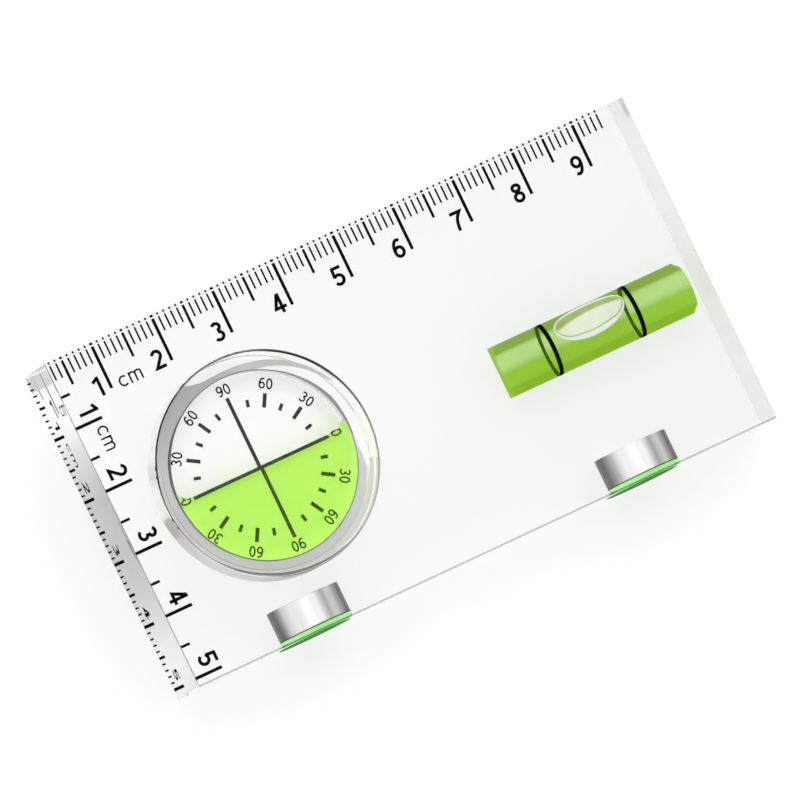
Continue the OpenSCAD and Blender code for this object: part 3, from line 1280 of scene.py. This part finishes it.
@dataclass
class AngleDial:
    """The dial capsule with its printed face and its lime liquid."""

    seat: float = 0.05
    lens_bevel: float = 0.12
    wall: float = 2.6
    face_fit: float = 0.05
    face_edge: float = 0.06
    print_rise: float = 0.01
    print_root: float = 0.05
    cross_width: float = 0.55
    long_angles: tuple[int, ...] = (30, 60)
    long_width: float = 0.56
    long_reach: Point = (8.9, 11.0)
    short_angles: tuple[int, ...] = (15, 45, 75)
    short_width: float = 0.5
    short_reach: Point = (9.0, 10.1)
    number_step: int = 30
    number_radius: float = 12.45
    lettering: Lettering = Lettering(height=1.64, weight=0.14, width=0.58, gap=0.1)
    # Sides of a whole hoop, and half the thickness of the hoops under the lens
    hoop_sides: int = 2 * ROUND
    joint: float = 0.04
    # The land, the step and the lip are hoops of painted shade under the lens
    joint_edges: tuple[Width, ...] = (
        (25.0, 2.35, 2.42), (30.0, 2.0, 2.42), (41.0, 1.6, 2.2), (60.0, 0.7, 1.7), (68.0, 0.2, 1.4),
        (75.0, 0.0, 1.17), (84.0, 0.0, 0.95), (93.0, 0.0, 0.88), (102.0, 0.0, 1.05), (107.0, 0.0, 1.6),
        (111.4, 0.0, 2.45), (156.0, 0.0, 2.45), (159.0, 0.0, 1.4), (335.0, 0.0, 1.4), (350.0, 0.0, 0.2),
    )
    step: float = 0.2
    step_edges: tuple[Width, ...] = ((150.0, 1.32, 2.45), (320.0, 1.32, 2.45), (340.0, 1.9, 2.4))
    lip_rise: float = 0.088
    lip_edges: tuple[Width, ...] = (
        (0.0, 0.0, 0.3), (6.0, 0.0, 0.35), (20.0, 0.0, 0.55), (41.0, 0.0, 0.3), (60.0, 0.0, 0.14),
        (100.0, 0.0, 0.12), (125.0, 0.0, 0.2), (150.0, 0.0, 0.4), (168.0, 0.0, 0.4), (185.0, 0.0, 0.2),
        (270.0, 0.0, 0.12), (345.0, 0.0, 0.1), (360.0, 0.0, 0.3),
    )
    # The glint is a painted reflection of the lime in the capsule's wall
    glint_edges: tuple[Width, ...] = ((-65.0, 2.4, 2.45), (-40.0, 2.05, 2.35), (4.0, 1.95, 2.25))
    # The bead is a ring of painted shade round the capsule
    bead: Point = (12.4, 12.6)
    bead_edges: tuple[Width, ...] = (
        (0.0, -0.06, 0.08), (22.0, -0.1, 0.12), (40.0, -0.14, 0.13), (62.0, -0.14, 0.13), (72.0, -0.1, 0.09),
        (112.0, -0.1, 0.09), (118.0, -0.14, 0.14), (168.0, -0.14, 0.14), (185.0, -0.05, 0.1),
        (215.0, -0.1, 0.0), (245.0, -0.42, -0.15), (270.0, -0.38, -0.12), (293.0, -0.08, 0.0),
        (335.0, 0.0, 0.08), (360.0, -0.06, 0.08),
    )
    meniscus: float = 1.2
    meniscus_reach: float = 1.0
    meniscus_steps: int = 60

    def build(self) -> None:
        """Makes the capsule, its face, the print and the liquid."""
        self.cup = Span.of("dial_cup")
        self.cover = Span.of("dial_lens")
        self.face = Span.of("dial_face")
        self.axis = Matrix.Translation((self.cup.middle.x, self.cup.middle.y, 0.0))
        self.radius = self.cup.size.x / 2
        self.chamber = self.radius - self.wall
        self._capsule()
        self._sheet()
        self._seams()
        self._lines()
        self._numbers()
        self._liquid()

    def _capsule(self) -> None:
        """Makes the clear capsule, lens and cup bonded together, round its chamber."""
        low = self.cup.low.z + self.seat
        high = self.cover.high.z
        bevel = self.lens_bevel
        outline = [
            (0.0, low), (self.radius - bevel, low), (self.radius, low + bevel), (self.radius, high - bevel),
            (self.radius - bevel, high), (0.0, high),
        ]
        ceiling = self.cover.low.z
        bottom = self.face.low.z
        chamber = [(0.0, bottom), (self.chamber, bottom), (self.chamber, ceiling), (0.0, ceiling)]
        shape = Shape().lathe(outline, self.axis).lathe(chamber, self.axis, hollow=True)
        shape.piece("dial_capsule", DIAL_CLEAR, stands_for=["dial_lens", "dial_cup"])

    def _sheet(self) -> None:
        """Makes the white face at the bottom of the chamber."""
        radius = self.chamber - self.face_fit
        outline = rounded(radius, self.face.low.z + SKIN, self.face.high.z, self.face_edge)
        Shape().lathe(outline, self.axis).piece("dial_sheet", WHITE, stands_for=["dial_face"])

    def _seams(self) -> None:
        """Makes the painted shade and glint: land, step, lip and glint under the lens, bead round the capsule.
        """
        middle = self.cover.low.z
        for name, finish, edges, rise in (
            ("dial_joint_shade", JOINT_PAINTED_SHADE, self.joint_edges, 0.0),
            ("dial_step_shade", STEP_PAINTED_SHADE, self.step_edges, -self.step),
            ("dial_lip_shade", LIP_PAINTED_SHADE, self.lip_edges, self.lip_rise),
            ("dial_glint", GLINT, self.glint_edges, 0.0),
        ):
            level = middle + rise
            self._round(self.chamber, edges, level - self.joint, level + self.joint).piece(name, finish)
        self._round(self.radius, self.bead_edges, *self.bead).piece("dial_bead_shade", BEAD_PAINTED_SHADE)

    def _round(self, radius: float, edges: Sequence[Width], low: float, high: float) -> Shape:
        """Makes a flat hoop, or a part of one, whose width changes along it.

        Args:
            radius: Radius that its edges are measured from.
            edges: How far its edges lie out from the radius, at rising angles from the start to the end.
            low: Height of the lower face.
            high: Height of the upper face.

        Returns:
            The hoop.
        """
        rows = []
        start, end = edges[0][0], edges[-1][0]
        steps = round((end - start) / 360 * self.hoop_sides)
        whole = end - start == 360
        for k in range(steps if whole else steps + 1):
            angle = start + (end - start) * k / steps
            stop = next((n for n in range(1, len(edges)) if edges[n][0] > angle), len(edges) - 1)
            before, after = edges[stop - 1], edges[stop]
            share = (angle - before[0]) / (after[0] - before[0])
            inner, outer = (radius + before[n] + share * (after[n] - before[n]) for n in (1, 2))
            way = Vector((math.cos(math.radians(angle)), math.sin(math.radians(angle)), 0.0))
            corners = [way * r + Vector((0.0, 0.0, z)) for r, z in (
                (inner, low), (outer, low), (outer, high), (inner, high),
            )]
            rows.append([self.axis @ corner for corner in corners])
        return Shape().loop(rows, whole)

    def _print_heights(self) -> Point:
        """Heights of the lower and upper face of the dial's ink."""
        return self.face.high.z - self.print_root, self.face.high.z + self.print_rise

    def _mark(self, shape: Shape, angle: float, inner: float, outer: float, width: float) -> None:
        """Adds one radial mark.

        Args:
            shape: Shape that the mark is added to.
            angle: Its direction, in degrees from +X.
            inner: Radius at which it starts.
            outer: Radius at which it ends.
            width: Its width.
        """
        low, high = self._print_heights()
        side = width / 2
        outline = [(inner, -side), (outer, -side), (outer, side), (inner, side)]
        shape.prism(outline, low, high, self.axis @ Matrix.Rotation(math.radians(angle), 4, "Z"))

    def _lines(self) -> None:
        """Makes the crosshair and the marks of every 15 degrees."""
        reach = Span.of("dial_crosshair").size.x / 2
        half = self.cross_width / 2
        cross = Shape()
        low, high = self._print_heights()
        outline = [
            (reach, -half), (reach, half), (half, half), (half, reach), (-half, reach), (-half, half),
            (-reach, half), (-reach, -half), (-half, -half), (-half, -reach), (half, -reach), (half, -half),
        ]
        cross.prism(outline, low, high, self.axis)
        cross.piece("dial_cross_lines", GREY_INK, stands_for=["dial_crosshair"])
        long_marks = Shape()
        short_marks = Shape()
        for quarter in range(4):
            for angle in self.long_angles:
                self._mark(long_marks, 90 * quarter + angle, *self.long_reach, self.long_width)
            for angle in self.short_angles:
                self._mark(short_marks, 90 * quarter + angle, *self.short_reach, self.short_width)
        long_marks.piece("dial_long_strokes", GREY_INK, stands_for=["dial_long_marks"])
        short_marks.piece("dial_short_strokes", GREY_INK, stands_for=["dial_short_marks"])

    def _numbers(self) -> None:
        """Writes 0, 30, 60 and 90 round the dial, with their tops outwards."""
        low, high = self._print_heights()
        shape = Shape()
        for angle in range(0, 360, self.number_step):
            half_turn = angle % 180
            label = min(half_turn, 180 - half_turn)
            turn = Matrix.Rotation(math.radians(angle - 90), 4, "Z")
            place = self.axis @ turn @ Matrix.Translation((0.0, self.number_radius, 0.0))
            self.lettering.write(shape, str(label), place, low, high)
        shape.piece("dial_numbers", BLACK_INK)

    def _liquid(self) -> None:
        """Makes the lime liquid, whose level climbs a little at the wall."""
        liquid = Span.of("dial_liquid")
        radius = liquid.size.x / 2
        level = liquid.high.y - self.cup.middle.y
        meet = math.asin((level + self.meniscus) / radius)
        edge = radius * math.cos(meet)
        surface = []
        for k in range(1, self.meniscus_steps):
            x = -edge + 2 * edge * k / self.meniscus_steps
            climb = math.exp(-(edge - abs(x)) / self.meniscus_reach)
            surface.append((x, level + self.meniscus * climb))
        turn = math.degrees(meet)
        below = arc((0.0, 0.0), (radius, radius), turn, -180 - turn, ROUND)
        shape = Shape().prism([*surface, *below], liquid.low.z, liquid.high.z, self.axis)
        shape.piece("dial_lime", LIME, Body.DIAL_LEVEL, stands_for=["dial_liquid"])


@dataclass
class BubbleVial:
    """The green vial with its two black rings and its bubble."""

    end_bevel: Point = (0.8, 0.15)
    end_reach: float = 0.75
    end_slant: float = 0.194
    bubble_ends: Point = (5.45, 6.1)
    bubble_full: float = 2.5
    bubble_up: float = 1.76
    bubble_down: float = 2.87
    bubble_tip: float = -0.78
    bubble_half: float = 0.6
    bubble_facets: int = 48
    ring_rise: float = 0.03
    ring_root: float = 0.12
    # Share of its width that a ring has at the far side, and how fast it widens towards the near side
    ring_far: float = 0.75
    ring_growth: float = 1.6

    def build(self) -> None:
        """Makes the vial, its rings and the bubble."""
        tube = Span.of("vial_tube")
        axis = Matrix.Translation((0.0, tube.middle.y, tube.middle.z)) @ Axis.X.value
        radius = tube.size.z / 2
        low, high = tube.low.x, tube.high.x
        far = high + self.end_reach
        outline = [
            (0.0, low), (radius, low), (radius, high - self.end_bevel[1]),
            (radius - self.end_bevel[0], far), (0.0, far),
        ]
        body = Shape().lathe(outline, axis)
        for corner in body.mesh.verts:
            if corner.co.x < tube.middle.x:
                corner.co.x -= self.end_slant * (corner.co.z - tube.middle.z)
        body.piece("vial_body", GREEN, stands_for=["vial_tube", "vial_end_plug", "vial_liquid"])
        for side in Side:
            node = f"vial_ring_{side.value}"
            ring = Span.of(node)
            self._ring(ring, radius, axis).piece(f"vial_band_{side.value}", RING_BLACK, stands_for=[node])
        self._bubble()

    def _ring(self, ring: Span, radius: float, axis: Matrix) -> Shape:
        """Makes one ring, which is narrower on the far side of the vial.

        Args:
            ring: Box of the ring's node.
            radius: Radius of the vial.
            axis: Frame of the vial's axis, in which the near side lies at -X.

        Returns:
            The ring.
        """
        half = ring.size.x / 2
        inner = radius - self.ring_root
        outer = radius + self.ring_rise
        rows = []
        for k in range(ROUND):
            turn = 2 * math.pi * k / ROUND
            near = (1 - math.cos(turn)) / 2
            width = half * (self.ring_far + (1 - self.ring_far) * min(1.0, near * self.ring_growth))
            corners = []
            for r, side in ((inner, -1), (outer, -1), (outer, 1), (inner, 1)):
                spot = Vector((r * math.cos(turn), r * math.sin(turn), ring.middle.x + side * width))
                corners.append(axis @ spot)
            rows.append(corners)
        return Shape().loop(rows)

    def _bubble(self) -> None:
        """Makes the bubble, flatter and fuller at its upper side than at its lower side."""
        bubble = Span.of("vial_bubble")
        facets = self.bubble_facets
        turns = [math.radians(-90 + 180 * k / facets) for k in range(facets + 1)]
        outline = [(math.cos(t), math.sin(t)) for t in turns]
        outline[0] = (0.0, -1.0)
        outline[-1] = (0.0, 1.0)
        shape = Shape().lathe(outline, Axis.X.value, steps=2 * facets)
        for corner in shape.mesh.verts:
            x, y, z = corner.co
            climb = self.bubble_down
            if y > 0:
                climb = self.bubble_up
                turn = math.atan2(y, abs(x))
                power = self.bubble_full
                full = (math.cos(turn) ** power + math.sin(turn) ** power) ** (-1 / power)
                x *= full
                y *= full
            corner.co = (
                bubble.middle.x + x * self.bubble_ends[1 if x > 0 else 0], self.bubble_tip + y * climb,
                bubble.middle.z + z * self.bubble_half,
            )
        shape.piece("vial_air", AIR, Body.BUBBLE, stands_for=["vial_bubble"])


@dataclass
class Magnets:
    """The two plated discs and their green caps in the lower long edge."""

    edge: float = 0.12
    cap_edge: float = 0.08

    def build(self) -> None:
        """Makes both magnets and both caps."""
        for side in Side:
            end = side.value
            self._disc(f"magnet_{end}", f"magnet_disc_{end}", NICKEL, self.edge, SKIN)
            self._disc(f"magnet_cap_{end}", f"magnet_shield_{end}", CAP_GREEN, self.cap_edge, 0.0)

    def _disc(self, node: str, name: str, finish: Finish, edge: float, inset: float) -> None:
        """Makes one disc in a node's place.

        Args:
            node: Node that the disc stands for.
            name: Name of the piece.
            finish: Its look.
            edge: Radius of its rounded edges.
            inset: Gap at its outer face.
        """
        box = Span.of(node)
        axis = Matrix.Translation((box.middle.x, 0.0, box.middle.z)) @ Axis.Y.value
        outline = rounded(box.size.x / 2, box.low.y + inset, box.high.y, edge)
        Shape().lathe(outline, axis).piece(name, finish, stands_for=[node])


class Tick(Enum):
    """Kinds of tick on a ruler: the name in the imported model, the length and the width."""

    MILLIMETRE = ("mm", 2.3, 0.27)
    HALF = ("half_cm", 3.8, 0.4)
    CENTIMETRE = ("cm", 6.65, 0.48)

    @property
    def label(self) -> str:
        """Last part of the node's name."""
        return self.value[0]

    @property
    def length(self) -> float:
        """Length of the tick."""
        return self.value[1]

    @property
    def width(self) -> float:
        """Width of the tick."""
        return self.value[2]

    @classmethod
    def at(cls, count: int) -> "Tick":
        """Kind of the tick at a count of millimetres."""
        if count % 10 == 0:
            return cls.CENTIMETRE
        return cls.HALF if count % 5 == 0 else cls.MILLIMETRE


@dataclass
class Ruler:
    """One ruler on the block's back, in a frame that starts at the upper left corner of the block."""

    name: str
    along: Vector
    inward: Vector
    upright: Vector
    ticks: int
    number_inset: float
    unit_place: Point
    tick_start: float = 0.12
    ink: float = 0.03
    number_shift: float = 1.9
    numbers: Lettering = Lettering(height=2.95, weight=0.165, width=0.6)
    unit: Lettering = Lettering(height=2.25, weight=0.115, gap=0.1)

    def build(self) -> None:
        """Makes the ticks, the numbers and the unit mark."""
        body = Span.of("acrylic_body")
        corner = Vector((body.low.x, body.high.y, body.low.z + SKIN))
        frame_axes = Matrix((self.along, self.inward, (0.0, 0.0, 1.0))).transposed().to_4x4()
        self.place = Matrix.Translation(corner) @ frame_axes
        for kind in Tick:
            self._ticks(kind)
        shape = Shape()
        for count in range(1, self.ticks // 10 + 1):
            spot = (10 * count - self.number_shift, self.number_inset)
            self._write(shape, self.numbers, str(count), spot)
        shape.piece(f"{self.name}_numbers", BLACK_INK)
        shape = Shape()
        self._write(shape, self.unit, "cm", self.unit_place)
        shape.piece(f"{self.name}_unit", BLACK_INK)

    def _ticks(self, kind: Tick) -> None:
        """Makes the ticks of one kind."""
        shape = Shape()
        half = kind.width / 2
        start = self.tick_start
        end = start + kind.length
        for count in range(1, self.ticks + 1):
            if Tick.at(count) is kind:
                left = count - half
                right = count + half
                outline = [(left, start), (right, start), (right, end), (left, end)]
                shape.prism(outline, 0.0, self.ink, self.place)
        shape.piece(f"{self.name}_{kind.label}_ticks", BLACK_INK, stands_for=[f"{self.name}_{kind.label}"])

    def _write(self, shape: Shape, lettering: Lettering, text: str, spot: Point) -> None:
        """Writes a word on the ruler.

        Args:
            shape: Shape that the strokes are added to.
            lettering: The word's style.
            text: The word.
            spot: Its middle, along the ruler and in from the edge.
        """
        origin = self.place @ Vector((*spot, 0.0))
        axes = Matrix((self.along, self.upright, (0.0, 0.0, 1.0))).transposed().to_4x4()
        lettering.write(shape, text, Matrix.Translation(origin) @ axes, 0.0, self.ink)


RIGHTWARDS = Vector((1.0, 0.0, 0.0))
DOWNWARDS = Vector((0.0, -1.0, 0.0))


@dataclass
class Studio:
    """White floor, soft light from above and the camera."""

    floor_radius: float = 4000.0
    floor_rise: float = 0.01
    floor_sides: int = 96
    # Brightness of the sky, from the horizon up
    sky: tuple[Point, ...] = ((0.0, 0.93), (0.6, 0.95), (1.0, 0.96))
    key_from: Direction = (0.2, 0.45, 0.87)
    key_light: float = 0.9
    key_reach: Point = (45.0, 20.0)
    flag_from: Direction = (0.2863, 0.0474, 0.957)
    flag_reach: Point = (15.0, 9.0)
    aim: tuple[float, float, float] = (-0.316, -0.146, 6.35)
    azimuth: float = -80.6065
    elevation: float = 73.1271
    roll: float = 55.285
    distance: float = 3291.85
    lens: float = 1022.7
    sensor: float = 36.0
    clip: Point = (100.0, 20000.0)
    clear_bounces: int = 32
    glossy_bounces: int = 16
    diffuse_bounces: int = 8

    def build(self) -> None:
        """Makes the floor, the light and the camera."""
        self._floor()
        self._sky()
        self._camera()
        bpy.context.scene.view_settings.view_transform = "Standard"
        cycles = bpy.context.scene.cycles
        cycles.max_bounces = self.clear_bounces
        cycles.transmission_bounces = self.clear_bounces
        cycles.glossy_bounces = self.glossy_bounces
        cycles.diffuse_bounces = self.diffuse_bounces
        cycles.blur_glossy = 0.0

    def _floor(self) -> None:
        """Makes the floor, which clings to the level's polished back without a film of air."""
        mesh = bmesh.new()
        radius = self.floor_radius * MM
        bmesh.ops.create_circle(mesh, cap_ends=True, radius=radius, segments=self.floor_sides)
        data = bpy.data.meshes.new("floor")
        mesh.to_mesh(data)
        mesh.free()
        data.materials.append(Paper().material())
        floor = bpy.data.objects.new("floor", data)
        floor.location.z = self.floor_rise * MM
        bpy.context.scene.collection.objects.link(floor)

    def _sky(self) -> None:
        """Makes the world: a soft sky with a key light at the ruler's side, and a dark flag above.

        The flag keeps the level's flat faces free of glare as seen by the camera.
        """
        world = bpy.data.worlds.new("studio")
        world.use_nodes = True
        bpy.context.scene.world = world
        graph = Graph(world.node_tree)
        background = world.node_tree.nodes["Background"]
        sky = graph.greys(graph.along("Generated", "Z"), self.sky)
        flag = graph.greys(self._patch(graph, self.flag_from, self.flag_reach), ((0.0, 1.0), (1.0, 0.0)))
        key = graph.add("ShaderNodeVectorMath", operation="SCALE", Vector=(self.key_light,) * 3)
        graph.join(self._patch(graph, self.key_from, self.key_reach), key.inputs["Scale"])
        light = graph.add("ShaderNodeVectorMath", operation="ADD")
        graph.join(sky, light.inputs[0])
        graph.join(key.outputs["Vector"], light.inputs[1])
        shade = graph.add("ShaderNodeVectorMath", operation="MULTIPLY")
        graph.join(light.outputs["Vector"], shade.inputs[0])
        graph.join(flag, shade.inputs[1])
        graph.join(shade.outputs["Vector"], background.inputs["Color"])

    def _patch(self, graph: Graph, middle: Direction, reach: Point) -> Socket:
        """Soft round patch of sky.

        Args:
            graph: Node tree of the world.
            middle: Direction of the patch's middle.
            reach: Angles from the middle, in degrees, at which the patch begins and is full.

        Returns:
            1 in the patch and 0 outside it.
        """
        place = graph.add("ShaderNodeTexCoord")
        dot = graph.add("ShaderNodeVectorMath", operation="DOT_PRODUCT")
        graph.join(place.outputs["Generated"], dot.inputs[0])
        dot.inputs[1].default_value = Vector(middle).normalized()
        begin, full = (math.cos(math.radians(angle)) for angle in reach)
        return graph.rise(dot.outputs["Value"], begin, full)

    def _camera(self) -> None:
        """Makes the camera at the angle of the reference view."""
        data = bpy.data.cameras.new("camera")
        data.lens = self.lens
        data.sensor_width = self.sensor
        data.clip_start = self.clip[0] * MM
        data.clip_end = self.clip[1] * MM
        camera = bpy.data.objects.new("camera", data)
        a = math.radians(self.azimuth)
        e = math.radians(self.elevation)
        back = Vector((math.sin(a) * math.cos(e), -math.cos(a) * math.cos(e), math.sin(e)))
        place = Matrix.Translation((Vector(self.aim) + back * self.distance) * MM)
        turn = (-back).to_track_quat("-Z", "Y").to_matrix().to_4x4()
        camera.matrix_world = place @ turn @ Matrix.Rotation(math.radians(self.roll), 4, "Z")
        bpy.context.scene.collection.objects.link(camera)
        bpy.context.scene.camera = camera


def main() -> None:
    """Builds the level and its studio."""
    logging.basicConfig(level=logging.INFO, format="%(name)s: %(message)s")
    Studio().build()
    AcrylicBlock().build()
    AngleDial().build()
    BubbleVial().build()
    Magnets().build()
    Ruler(
        name="long_ruler", along=RIGHTWARDS, inward=DOWNWARDS, upright=-DOWNWARDS, ticks=94, number_inset=5.8,
        unit_place=(13.2, 6.25),
    ).build()
    Ruler(
        name="short_ruler", along=DOWNWARDS, inward=RIGHTWARDS, upright=RIGHTWARDS, ticks=50,
        number_inset=5.35, unit_place=(12.95, 6.3),
    ).build()


if __name__ == "__main__":
    main()
